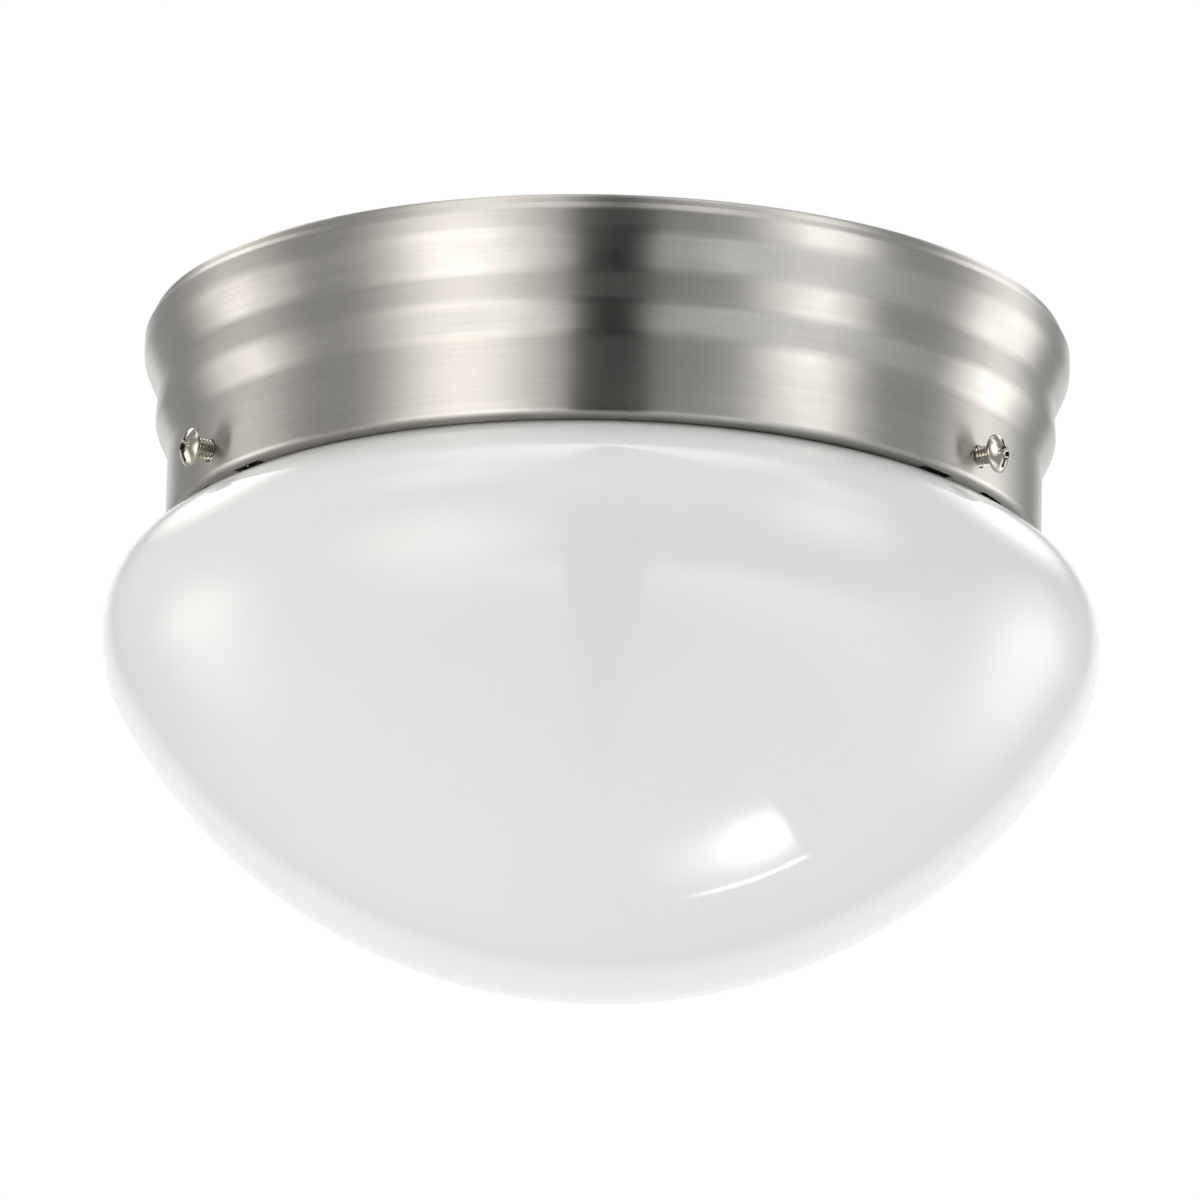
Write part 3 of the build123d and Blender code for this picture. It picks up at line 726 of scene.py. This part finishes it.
@dataclass
class Pan:
    """The drawn canopy: rolled rim, two soft beads, straight neck, flange and screw tongues."""

    sheet: float = 0.7
    height: float = 44.5
    neck: float = 89.5
    recess: float = 2.1  # how much narrower than the neck the plate's recess is
    plate_depth: float = 7.0
    plate_corner: float = 1.2
    rim_corner: float = 2.6
    # Corners of the outside, from the rim down: reach past the neck, height and rounding.
    profile: tuple[tuple[float, float, float], ...] = (
        (3.8, 0.0, 1.6),
        (4.45, -2.1, 0.6),
        (5.4, -3.6, 1.4),
        (5.4, -8.0, 6.0),
        (2.3, -15.3, 4.5),
        (2.75, -21.9, 4.0),
        (0.0, -27.8, 5.0),
    )
    neck_corner: float = 1.1
    corner_segments: int = 7
    flange: float = 4.3
    tongue_width: float = 12.0
    tongue_height: float = 11.0
    tongue_bend: float = 1.1
    tongue_corner: float = 2.5
    tongue_segments: int = 6
    overlap: float = 0.3  # how far joined pieces go into each other
    relief: float = 9.0  # width of the notch on each side of a tongue
    relief_depth: float = 1.9
    relief_cut: Point = (-1.0, 1.2)  # its cutter's underside and top, from the flange
    relief_steps: int = 8
    rod_sides: int = 48
    collar: float = 3.3
    collar_length: float = 1.2
    screw_angles: tuple[float, ...] = (87.15, 207.15, 327.15)
    screw_z: float = -39.05
    wall_hole: float = 2.35
    wall_cut: float = 3.0  # lengths of the cutters
    tapped_hole: float = 2.15
    tapped_cut: float = 8.0
    plate_cut: float = 4.0
    keyhole_pitch: float = 70.0
    keyhole_slot: float = 2.3
    keyhole: float = 4.8
    keyhole_run: float = 9.0
    bushing: Point = (27.0, 27.0)
    bushing_hole: float = 5.5
    steps: int = 300
    longest: float = 2.5

    @property
    def inner(self) -> float:
        """Radius of the flange's inner edge."""
        return self.neck - self.flange

    def outline(self) -> Outline:
        """The outside of the sheet, from the middle of the plate to the flange's inner edge.

        Returns:
            The line, with its corners rounded.
        """
        line = Outline((0, -self.plate_depth))
        line.line((self.neck - self.recess, -self.plate_depth), self.plate_corner)
        line.line((self.neck - self.recess, 0), self.rim_corner)
        for reach, height, rounding in self.profile:
            line.line((self.neck + reach, height), rounding)
        line.line((self.neck, -self.height), self.neck_corner)
        line.line((self.inner, -self.height))
        return line.round_corners(self.corner_segments).divide(self.longest)

    def prism(self, points: Iterable[Point], low: float, high: float) -> Piece:
        """An upright block with a given outline, for cutting the plate and the flange.

        Args:
            points: Its corners, seen from above.
            low: Height of its underside.
            high: Height of its top.

        Returns:
            The block.
        """
        mesh = bmesh.new()
        face = mesh.faces.new([mesh.verts.new((x * MM, y * MM, low * MM)) for x, y in points])
        grown = bmesh.ops.extrude_face_region(mesh, geom=[face])
        lift = (0, 0, (high - low) * MM)
        bmesh.ops.translate(mesh, verts=points_of(grown["geom"]), vec=lift)
        bmesh.ops.recalc_face_normals(mesh, faces=mesh.faces)
        return make_object("block", mesh)

    def rod(self, radius: float, length: float, place: Matrix) -> Piece:
        """A round cutter whose middle is at a place.

        Args:
            radius: In millimetres.
            length: In millimetres.
            place: Where its middle goes.

        Returns:
            The rod.
        """
        mesh = bmesh.new()
        size = {"radius1": radius * MM, "radius2": radius * MM, "depth": length * MM}
        bmesh.ops.create_cone(mesh, cap_ends=True, segments=self.rod_sides, matrix=place, **size)
        return make_object("rod", mesh)

    def lying_rod(self, radius: float, length: float, reach: float) -> Piece:
        """A round cutter along +X at the screws' height, its middle at a reach from the axis."""
        place = Matrix.Translation(Vector((reach, 0, self.screw_z)) * MM)
        return self.rod(radius, length, place @ Matrix.Rotation(math.pi / 2, 4, "Y"))

    def tongue(self, angle: float) -> Piece:
        """One tongue with its drawn collar, bent up behind a screw.

        Args:
            angle: Degrees round the axis.

        Returns:
            The tongue.
        """
        top = self.tongue_height - self.height
        line = Outline((self.inner + self.relief_depth + self.overlap, -self.height))
        line.line((self.inner, -self.height), self.tongue_bend).line((self.inner, top))
        mesh = line.round_corners(self.tongue_segments).mesh
        grown = bmesh.ops.extrude_edge_only(mesh, edges=mesh.edges[:])
        side = points_of(grown["geom"])
        bmesh.ops.translate(mesh, verts=side, vec=(0, self.tongue_width * MM, 0))
        bmesh.ops.translate(mesh, verts=mesh.verts, vec=(0, -self.tongue_width / 2 * MM, 0))
        tips = [v for v in mesh.verts if v.co.z > (top - CLOSE) * MM]
        round_points(mesh, tips, self.tongue_corner * MM, self.tongue_segments)
        wall = max(mesh.faces, key=lambda face: face.calc_area())
        wall.normal_update()
        bmesh.ops.recalc_face_normals(mesh, faces=mesh.faces)
        if wall.normal.x > 0:
            bmesh.ops.reverse_faces(mesh, faces=mesh.faces)
        bmesh.ops.solidify(mesh, geom=mesh.faces[:], thickness=self.sheet * MM)
        bmesh.ops.recalc_face_normals(mesh, faces=mesh.faces)
        piece = make_object("tongue", mesh)
        length = self.collar_length + self.overlap
        middle = self.inner - (self.collar_length - self.overlap) / 2
        boolean(piece, self.lying_rod(self.collar, length, middle), Combine.JOIN)
        drill = self.lying_rod(self.tapped_hole, self.tapped_cut, self.inner)
        boolean(piece, drill, Combine.CUT)
        piece.data.transform(turn_about_z(angle))
        return piece

    def relief_block(self, angle: float, side: int) -> Piece:
        """The notch of the flange on one side of a tongue, as a block to cut with.

        Args:
            angle: Degrees of its tongue.
            side: Which side of the tongue, 1 or -1.

        Returns:
            The block.
        """
        outer = self.inner + self.relief_depth
        near, far = self.tongue_width / 2, self.tongue_width / 2 + self.relief
        steps = self.relief_steps
        ends = [far - (far - near) * i / steps for i in range(steps + 1)]
        rim = [(math.sqrt(outer**2 - y**2), side * y) for y in ends]
        back = self.inner - self.flange
        points = [(back, side * near), (back, side * far), *rim]
        low, high = (edge - self.height for edge in self.relief_cut)
        block = self.prism(points, low, high)
        block.data.transform(turn_about_z(angle))
        return block

    def plate_tools(self) -> Iterable[Piece]:
        """The blocks and rods that cut the two keyholes and the wire hole, one by one.

        Returns:
            The tools.
        """
        plate = -self.plate_depth - self.sheet / 2
        low, high = plate - self.plate_cut / 2, plate + self.plate_cut / 2
        wide = self.keyhole_slot
        for side in (1, -1):
            middle, run = side * self.keyhole_pitch / 2, side * self.keyhole_run
            slot = [(middle + x, y) for x, y in ((-wide, 0), (wide, 0), (wide, run), (-wide, run))]
            yield self.prism(slot, low, high)
            for radius, y in ((wide, 0), (self.keyhole, run)):
                place = Matrix.Translation(Vector((middle, y, plate)) * MM)
                yield self.rod(radius, self.plate_cut, place)
        place = Matrix.Translation(Vector((*self.bushing, plate)) * MM)
        yield self.rod(self.bushing_hole, self.plate_cut, place)

    def build(self) -> None:
        """Makes the pan, cuts its holes and notches and adds the tongues."""
        mesh = self.outline().revolve(self.steps)
        bmesh.ops.solidify(mesh, geom=mesh.faces[:], thickness=self.sheet * MM)
        clean(mesh, 0.001)
        pan = make_object("pan_shell", mesh)
        for angle in self.screw_angles:
            for side in (1, -1):
                boolean(pan, self.relief_block(angle, side), Combine.CUT)
            place = radial_place(angle, self.neck, self.screw_z)
            boolean(pan, self.rod(self.wall_hole, self.wall_cut, place), Combine.CUT)
            boolean(pan, self.tongue(angle), Combine.JOIN)
        for tool in self.plate_tools():
            boolean(pan, tool, Combine.CUT)
        smooth(pan)
        dress(pan, BRUSHED_NICKEL)
        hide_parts("pan")
        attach(pan, "fixture")
        log.info("pan: %d faces", len(pan.data.polygons))


@dataclass
class Shade:
    """The mushroom glass: a deep bowl, a round shoulder and a neck whose lip flares out."""

    widest: float = 101.7
    equator_z: float = -66.10
    bowl_depth: float = 71.9
    hip: float = 31.35
    equator: float = 21.0
    equator_turn: float = 53.0
    shoulder: float = 40.0
    throat: float = 3.5
    waist: float = 80.3
    flare_z: float = -36.70
    lip_bend: float = 8.0
    lip_lean: float = 16.7
    lip: float = 83.6
    wall: float = 3.0
    lip_round: float = 1.3
    lip_segments: int = 6
    segments: tuple[int, ...] = (44, 24, 18, 12, 12, 6)  # of its arcs, from the bottom up
    steps: int = 256
    longest: float = 3.0
    sharp: float = 50.0

    def outline(self, offset: float) -> Outline:
        """One side of the glass wall.

        Args:
            offset: Distance from the outside towards the inside, in millimetres.

        Returns:
            The line from the bottom of the bowl to the lip.
        """
        hip_x = self.widest - self.hip
        bowl = (hip_x**2 + self.bowl_depth**2 - self.hip**2) / (2 * (self.bowl_depth - self.hip))
        bottom = self.equator_z - self.bowl_depth
        bowl_turn = math.degrees(math.atan2(hip_x, bowl - self.bowl_depth))
        equator_x = self.widest - self.equator
        rise = math.radians(self.equator_turn)
        shoulder_x = equator_x - (self.shoulder - self.equator) * math.cos(rise)
        shoulder_z = self.equator_z - (self.shoulder - self.equator) * math.sin(rise)
        throat_x = self.waist + self.throat
        reach = self.shoulder + self.throat
        throat_turn = math.acos((throat_x - shoulder_x) / reach)
        throat_z = shoulder_z + reach * math.sin(throat_turn)
        throat_turn = math.degrees(throat_turn)
        lean = math.radians(self.lip_lean)
        lip_rise = self.lip_bend * math.tan(lean / 2) + (self.lip - self.waist) / math.tan(lean)
        line = Outline((0, bottom + offset))
        arcs = (
            ((0, bottom + bowl), bowl_turn),
            ((hip_x, self.equator_z), 90 - bowl_turn),
            ((equator_x, self.equator_z), self.equator_turn),
            ((shoulder_x, shoulder_z), throat_turn - self.equator_turn),
            ((throat_x, throat_z), -throat_turn),
        )
        for (centre, turn), steps in zip(arcs, self.segments):
            line.arc(centre, turn, steps)
        line.line((self.waist - offset, self.flare_z))
        bend = (self.waist + self.lip_bend, self.flare_z)
        line.arc(bend, -self.lip_lean, self.segments[-1])
        end_z = self.flare_z + lip_rise + offset * math.sin(lean)
        return line.line((self.lip - offset * math.cos(lean), end_z))

    def build(self) -> None:
        """Makes the glass wall from its outside and inside lines."""
        outside = self.outline(0.0)
        inside = self.outline(self.wall)
        middle = bpy.data.meshes.new("inside")
        inside.mesh.to_mesh(middle)
        inside.mesh.free()
        mesh = outside.mesh
        mesh.from_mesh(middle)
        bpy.data.meshes.remove(middle)
        ends = [v for v in mesh.verts if len(v.link_edges) == 1 and v.co.x > self.wall * MM]
        mesh.edges.new(ends)
        round_points(mesh, ends, self.lip_round * MM, self.lip_segments)
        outside.divide(self.longest).revolve(self.steps)
        glass = make_object("opal_shade", mesh, self.sharp)
        dress(glass, OPAL_GLASS)
        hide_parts("shade_glass")
        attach(glass, "shade")
        log.info("shade: %d faces", len(glass.data.polygons))


@dataclass
class MachineScrew:
    """A machine screw with its thread, made with the head on +Z and its seat at the origin."""

    name: str
    turn: float  # of the recess, degrees
    shank: float = 2.08
    length: float = 12.7
    head: float = 3.9
    head_height: float = 2.2
    head_rim: float = 0.28  # straight edge of the head, as a share of its height
    head_corners: Point = (0.15, 0.25)
    head_steps: int = 48
    dome_steps: int = 14
    corner_steps: int = 4
    pitch: float = 0.7
    thread_depth: float = 0.38
    crest: float = 0.24  # flat of the thread, as a share of its pitch
    facets: int = 28
    slot: float = 1.0
    slot_depth: float = 0.95
    slot_lengths: Point = (2.4, 1.15)  # of the long and the cross slot, in head radii
    well: Point = (0.30, 0.42)  # foot and mouth of the round recess, in head radii
    well_depth: Point = (1.2, 1.6)  # at its foot's edge and middle, in slot depths
    well_rise: float = 0.1  # of its mouth over the dome
    merge: float = 0.004
    sink: float = 0.02  # how far the shank and the cutters go past a face
    sharp: float = 32.0

    def thread(self) -> BMesh:
        """The threaded shank: one V of thread that climbs as it turns, cut flat at both ends.

        Returns:
            The thread.
        """
        mesh = bmesh.new()
        root, crest = (self.shank - self.thread_depth) * MM, self.shank * MM
        low, pitch = -(self.length + self.pitch) * MM, self.pitch * MM
        flat = self.crest / 2 * pitch
        ridge = ((root, 0.0), (crest, pitch / 2 - flat), (crest, pitch / 2 + flat), (root, pitch))
        verts = [mesh.verts.new((reach, 0, low + height)) for reach, height in ridge]
        for one, two in zip(verts, verts[1:]):
            mesh.edges.new((one, two))
        turns = math.ceil(self.length / self.pitch) + 2
        parts, climb = mesh.verts[:] + mesh.edges[:], (0, 0, pitch / self.facets)
        spin(mesh, parts, math.tau * turns, self.facets * turns, dvec=climb)
        bmesh.ops.remove_doubles(mesh, verts=mesh.verts, dist=self.merge * MM)
        for height, up in ((-self.length * MM, False), (self.sink * MM, True)):
            parts = mesh.verts[:] + mesh.edges[:] + mesh.faces[:]
            plane = {"plane_co": (0, 0, height), "plane_no": (0, 0, 1), "dist": ON_PLANE}
            sides = {"clear_outer": up, "clear_inner": not up}
            cut = bmesh.ops.bisect_plane(mesh, geom=parts, **plane, **sides)
            rim = [part for part in cut["geom_cut"] if isinstance(part, bmesh.types.BMEdge)]
            bmesh.ops.contextual_create(mesh, geom=rim)
        bmesh.ops.recalc_face_normals(mesh, faces=mesh.faces)
        return mesh

    def bar(self, length: float, angle: float) -> Piece:
        """A block that cuts one slot across the head.

        Args:
            length: In millimetres.
            angle: Degrees round the screw.

        Returns:
            The bar.
        """
        mesh = bmesh.new()
        bmesh.ops.create_cube(mesh, size=1)
        size = Vector((length, self.slot, self.slot_depth)) * MM
        bmesh.ops.scale(mesh, vec=size, verts=mesh.verts)
        lift = (self.head_height - self.slot_depth / 2 + self.sink) * MM
        bmesh.ops.translate(mesh, vec=(0, 0, lift), verts=mesh.verts)
        bmesh.ops.transform(mesh, matrix=turn_about_z(angle + self.turn), verts=mesh.verts)
        return make_object("bar", mesh)

    def head_solid(self) -> Piece:
        """The low dome of the head with its combination recess: a slot, a cross slot and a well.

        Returns:
            The head.
        """
        edge = self.head_rim * self.head_height
        dome = self.head_height - edge
        ball = (self.head**2 + dome**2) / (2 * dome)
        line = Outline((0, 0)).line((self.head, 0), self.head_corners[0])
        line.line((self.head, edge), self.head_corners[1])
        turn = math.degrees(math.asin(self.head / ball))
        line.arc((0, self.head_height - ball), turn, self.dome_steps)
        piece = make_object("head", line.round_corners(self.corner_steps).revolve(self.head_steps))
        for length, angle in zip(self.slot_lengths, (0.0, 90.0)):
            boolean(piece, self.bar(length * self.head, angle), Combine.CUT)
        foot, middle = (self.head_height - depth * self.slot_depth for depth in self.well_depth)
        mouth = self.head_height + self.well_rise
        well = Outline((0, middle)).line((self.well[0] * self.head, foot))
        well.line((self.well[1] * self.head, mouth)).line((0, mouth))
        boolean(piece, make_object("well", well.revolve(self.head_steps // 2)), Combine.CUT)
        return piece

    def solid(self, place: Matrix) -> Piece:
        """The whole screw at its place.

        Args:
            place: Where it goes.

        Returns:
            The screw.
        """
        piece = self.head_solid()
        boolean(piece, make_object("shank", self.thread()), Combine.JOIN)
        piece.data.transform(place)
        piece.data.update()
        smooth(piece, self.sharp)
        piece.name = piece.data.name = self.name
        return piece


@dataclass
class ShadeScrews:
    """The three screws that hold the glass, each on a body of its own."""

    pan: Pan
    seat: float = 93.3
    turns: tuple[float, ...] = (20.0, 84.0, 94.0)

    def build(self) -> None:
        """Makes the three screws."""
        for number, (angle, turn) in enumerate(zip(self.pan.screw_angles, self.turns), start=1):
            screw = MachineScrew(f"glass_screw_{number}", turn)
            piece = screw.solid(radial_place(angle, self.seat, self.pan.screw_z))
            dress(piece, NICKEL_PLATE)
            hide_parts(f"shade_screw_{number}")
            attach(piece, f"screw_{number}")
            log.info("%s: %d faces", piece.name, len(piece.data.polygons))


@dataclass
class Carried:
    """Solids that keep their shape and only get their finish."""

    finishes: tuple[tuple[str, Finish], ...] = (
        ("insulation_foil", FOIL),
        ("insulation_pad", FIBRE),
        ("mounting_strap", ZINC),
        ("fixture_screws", ZINC),
        ("ground_screw", GREEN_ZINC),
        ("wire_bushing", NYLON),
        ("lampholder_bracket", ZINC),
        ("bracket_rivets", RIVET_METAL),
        ("lampholder_body", PORCELAIN),
        ("lampholder_shell", DRAWN_ALUMINIUM),
        ("lampholder_contact", BRASS),
        ("lampholder_screws", ZINC),
        ("hot_terminal_plate", BRASS),
        ("hot_terminal_screw", BRASS),
        ("neutral_terminal_plate", DRAWN_ALUMINIUM),
        ("neutral_terminal_screw", NICKEL_PLATE),
        ("bulb_base_shell", DRAWN_ALUMINIUM),
        ("bulb_base_insulator", BLACK_GLASS),
        ("bulb_base_contact", SOLDER),
        ("bulb_housing", HOUSING_PLASTIC),
        ("bulb_diffuser", DIFFUSER_PLASTIC),
        ("bulb_led_board", BOARD_WHITE),
        ("bulb_led_chips", PHOSPHOR),
        ("bulb_driver_board", BOARD_GREEN),
    )

    def build(self, frame: dict[str, Any]) -> None:
        """Dresses each solid in turn.

        Args:
            frame: The loaded frame.
        """
        for node, finish in self.finishes:
            dress(frame["nodes"][node], finish)
            log.info("%s: %s", node, finish.name)


# ---- Studio ----


@dataclass(frozen=True)
class Glow:
    """A soft bright patch of light. Its angles are in degrees."""

    azimuth: float  # from the front, to the right positive
    elevation: float
    half_width: float
    half_height: float
    level: float
    colour: str = "ffffff"
    core: float = 0.0  # share of the patch that stays at full level

    def light(self, tree: Tree, where: Socket) -> Socket:
        """Its light at a place.

        Args:
            tree: The world's nodes.
            where: The place in degrees.

        Returns:
            The brightness.
        """
        middle, size = (self.azimuth, self.elevation, 0), (self.half_width, self.half_height, 1)
        away = add_node(tree, "VectorMath", where, middle, operation="SUBTRACT")
        away = add_node(tree, "VectorMath", away, size, operation="DIVIDE")
        away = add_node(tree, "VectorMath", away, operation="LENGTH", out="Value")
        return fade(tree, away, (self.core, 1.0), self.level, 0.0)


@dataclass(frozen=True)
class Lamp:
    """A low lamp cut off by two straight flags; the lower one has a bright edge.

    Its glows and edges are measured in degrees from its middle, on two directions across it.
    """

    azimuth: float = 132.7
    elevation: float = -57.8
    tilt: float = 47.0
    glows: tuple[Glow, Glow] = (Glow(0, -2, 15, 18, 3.4), Glow(0, 0, 10, 8, 7.0, core=0.1))
    side: Point = (3.9, 4.4)  # soft edge of the flag at its side
    bottom: Point = (11.5, 12.0)  # and of the lower one
    rim: Point = (-13.0, -5.0)  # along the lower flag, where its bright edge fades in
    rim_width: float = 0.5
    rim_level: float = 18.0
    near: Point = (0.5, 0.6)  # it shows only where a direction is this close to it

    def axes(self) -> tuple[Vector, Vector, Vector]:
        """The direction towards the lamp and the two directions across it.

        Returns:
            Ahead, down and side.
        """
        turn, rise, tilt = (math.radians(a) for a in (self.azimuth, self.elevation, self.tilt))
        level = Vector((math.cos(turn), math.sin(turn), 0))
        ahead = Vector((math.sin(turn), -math.cos(turn), math.tan(rise))).normalized()
        upright = ahead.cross(level)
        down = level * math.cos(tilt) + upright * math.sin(tilt)
        side = upright * math.cos(tilt) - level * math.sin(tilt)
        return ahead, down, side

    def light(self, tree: Tree, towards: Socket) -> Socket:
        """Its light in a direction.

        Args:
            tree: The world's nodes.
            towards: The direction.

        Returns:
            The brightness.
        """
        near, *across = (
            add_node(tree, "VectorMath", towards, axis, operation="DOT_PRODUCT", out="Value")
            for axis in self.axes()
        )
        down, side = (product(tree, way, math.degrees(1)) for way in across)
        spot = add_node(tree, "CombineXYZ", down, side)
        spill = add_node(tree, "Math", *(glow.light(tree, spot) for glow in self.glows))
        spill = product(tree, fade(tree, down, self.bottom, 1, 0), spill)
        off = add_node(tree, "Math", down, self.bottom[1], operation="SUBTRACT")
        off = add_node(tree, "Math", off, operation="ABSOLUTE")
        rim = fade(tree, off, (0, self.rim_width), self.rim_level, 0)
        rim = product(tree, rim, fade(tree, side, self.rim, 0, 1))
        flags = product(tree, fade(tree, side, self.side, 1, 0), fade(tree, near, self.near, 0, 1))
        return product(tree, add_node(tree, "Math", spill, rim), flags)


@dataclass
class Studio:
    """Camera and light tent. Azimuths and elevations are in degrees."""

    camera_distance: float = 2500.0
    camera_rise: float = 16.51  # degrees that the camera looks up
    target: tuple[float, float, float] = (-0.356, 0.0, -56.486)
    roll: float = 1.3
    lens: float = 367.5
    sensor: float = 36.0
    clip: Point = (0.05, 60.0)
    wall: float = 0.40  # brightness of the tent at eye level
    above: float = 2.6  # of its roof
    roof: Point = (54.0, 76.0)  # elevations over which the roof comes in
    roof_flag: tuple[Point, Point] = ((-24.0, -10.0), (32.0, 50.0))  # dark part of the roof
    roof_back: Point = (-0.1, 0.2)  # the roof is dimmer from here to the back
    roof_back_level: float = 0.15
    below: float = 0.62  # brightness of its floor
    floor: Point = (-48.0, -18.0)
    back: Point = (0.80, 0.93)  # the white wall right behind the light
    gap: Point = (-9.0, 10.5)  # opening that the camera looks through
    gap_edge: float = 1.8
    gap_level: float = 0.26  # a little light in the opening
    gap_light: tuple[Point, Point] = ((10.0, 34.0), (40.0, 56.0))
    screen: tuple[Point, Point] = ((9.5, 10.5), (22.0, 34.0))  # grey, right of the gap
    screen_level: float = 0.75
    lamp: Lamp = Lamp()
    glows: tuple[Glow, ...] = (
        Glow(-37, -9, 35, 37, 3.1, "fffbf5"),
        Glow(-106, -14, 28, 27, 2.5, "fffbf5"),
        Glow(54, 18, 25, 32, 2.65, "fffffd"),
        Glow(117, -9, 27, 31, 2.8, "fffffd"),
        Glow(-47, 50, 32, 22, 1.9, "fffbf5"),
        Glow(67, 47, 18, 22, 1.6, "fffffd"),
        Glow(-145, 40, 34, 15, 3.2, "fffbf5"),
        Glow(141, 37, 32, 16, 2.8, "fffffd"),
        Glow(20, -36, 115, 16, 1.75, "f8fbff"),
    )

    def camera(self) -> None:
        """Puts the camera where the photograph was taken from."""
        data = bpy.data.cameras.new("camera")
        data.lens = self.lens
        data.sensor_width = self.sensor
        data.clip_start, data.clip_end = self.clip
        rise = math.radians(self.camera_rise)
        ahead = Vector((0, math.cos(rise), math.sin(rise)))
        camera = bpy.data.objects.new("camera", data)
        turn = ahead.to_track_quat("-Z", "Y").to_matrix().to_4x4() @ turn_about_z(self.roll)
        place = Vector(self.target) * MM - ahead * self.camera_distance * MM
        camera.matrix_world = Matrix.Translation(place) @ turn
        bpy.context.scene.collection.objects.link(camera)
        bpy.context.scene.camera = camera

    def walls(self, tree: Tree, turn: Socket, rise: Socket, depth: Socket) -> Socket:
        """Brightness of the bare tent.

        Args:
            tree: The world's nodes.
            turn: Azimuth in degrees.
            rise: Elevation in degrees.
            depth: Y of the direction, 1 straight behind the light.

        Returns:
            The brightness.
        """
        flag = window(tree, turn, *self.roof_flag)
        roof = product(
            tree,
            fade(tree, rise, self.roof, 0, self.above - self.wall),
            add_node(tree, "Math", 1.0, flag, operation="SUBTRACT"),
            fade(tree, depth, self.roof_back, 1, self.roof_back_level),
        )
        floor = fade(tree, rise, self.floor, self.below - self.wall, 0)
        level = add_node(tree, "Math", add_node(tree, "Math", roof, floor), self.wall)
        back = fade(tree, depth, self.back, 0, 1)
        return add_node(tree, "Math", level, back, operation="MAXIMUM")

    def tent(self) -> None:
        """The world: a pale tent with soft patches of light and a gap for the camera."""
        world = bpy.data.worlds.new("light_tent")
        world.use_nodes = True
        tree = world.node_tree
        tree.nodes.clear()
        towards = add_node(tree, "TexCoord", out="Generated")
        x, y, z = add_node(tree, "SeparateXYZ", towards).node.outputs
        turn = add_node(tree, "Math", x, product(tree, y, -1.0), operation="ARCTAN2")
        rise = add_node(tree, "Math", z, operation="ARCSINE")
        turn, rise = (product(tree, angle, math.degrees(1)) for angle in (turn, rise))
        level = self.walls(tree, turn, rise, y)
        total = add_node(tree, "CombineXYZ", level, level, level)
        place = add_node(tree, "CombineXYZ", turn, rise)
        lights = [(glow.light(tree, place), glow.colour) for glow in self.glows]
        for lit, colour in (*lights, (self.lamp.light(tree, towards), "ffffff")):
            inputs = {0: linear(colour)[:3], "Scale": lit}
            lit = add_node(tree, "VectorMath", inputs, operation="SCALE")
            total = add_node(tree, "VectorMath", total, lit)

        left, right = self.gap
        screen = window(tree, turn, *self.screen)
        rest = (self.screen_level - 1, 1.0)
        screen = add_node(tree, "Math", screen, *rest, operation="MULTIPLY_ADD")
        total = add_node(tree, "VectorMath", {0: total, "Scale": screen}, operation="SCALE")
        gap = window(tree, turn, (left - self.gap_edge, left), (right, right + self.gap_edge))
        inside = product(tree, window(tree, rise, *self.gap_light), self.gap_level)
        total = add_node(tree, "Mix", {0: gap, 6: total, 7: inside}, out=2, data_type="RGBA")

        seen = add_node(tree, "LightPath", out="Is Camera Ray")
        inputs = {0: seen, 6: total, 7: linear("ffffff")}
        colour = add_node(tree, "Mix", inputs, out=2, data_type="RGBA")
        add_node(tree, "OutputWorld", add_node(tree, "Background", colour))
        bpy.context.scene.world = world

    def build(self) -> None:
        """Sets up the camera, the light and the plain view."""
        self.camera()
        self.tent()
        bpy.context.scene.view_settings.view_transform = "Standard"


def main() -> None:
    """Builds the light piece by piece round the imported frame."""
    logging.basicConfig(level=logging.INFO, format="%(name)s %(message)s")
    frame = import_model()
    pan = Pan()
    pan.build()
    Shade().build()
    ShadeScrews(pan).build()
    Carried().build(frame)
    Studio().build()


if __name__ == "__main__":
    main()
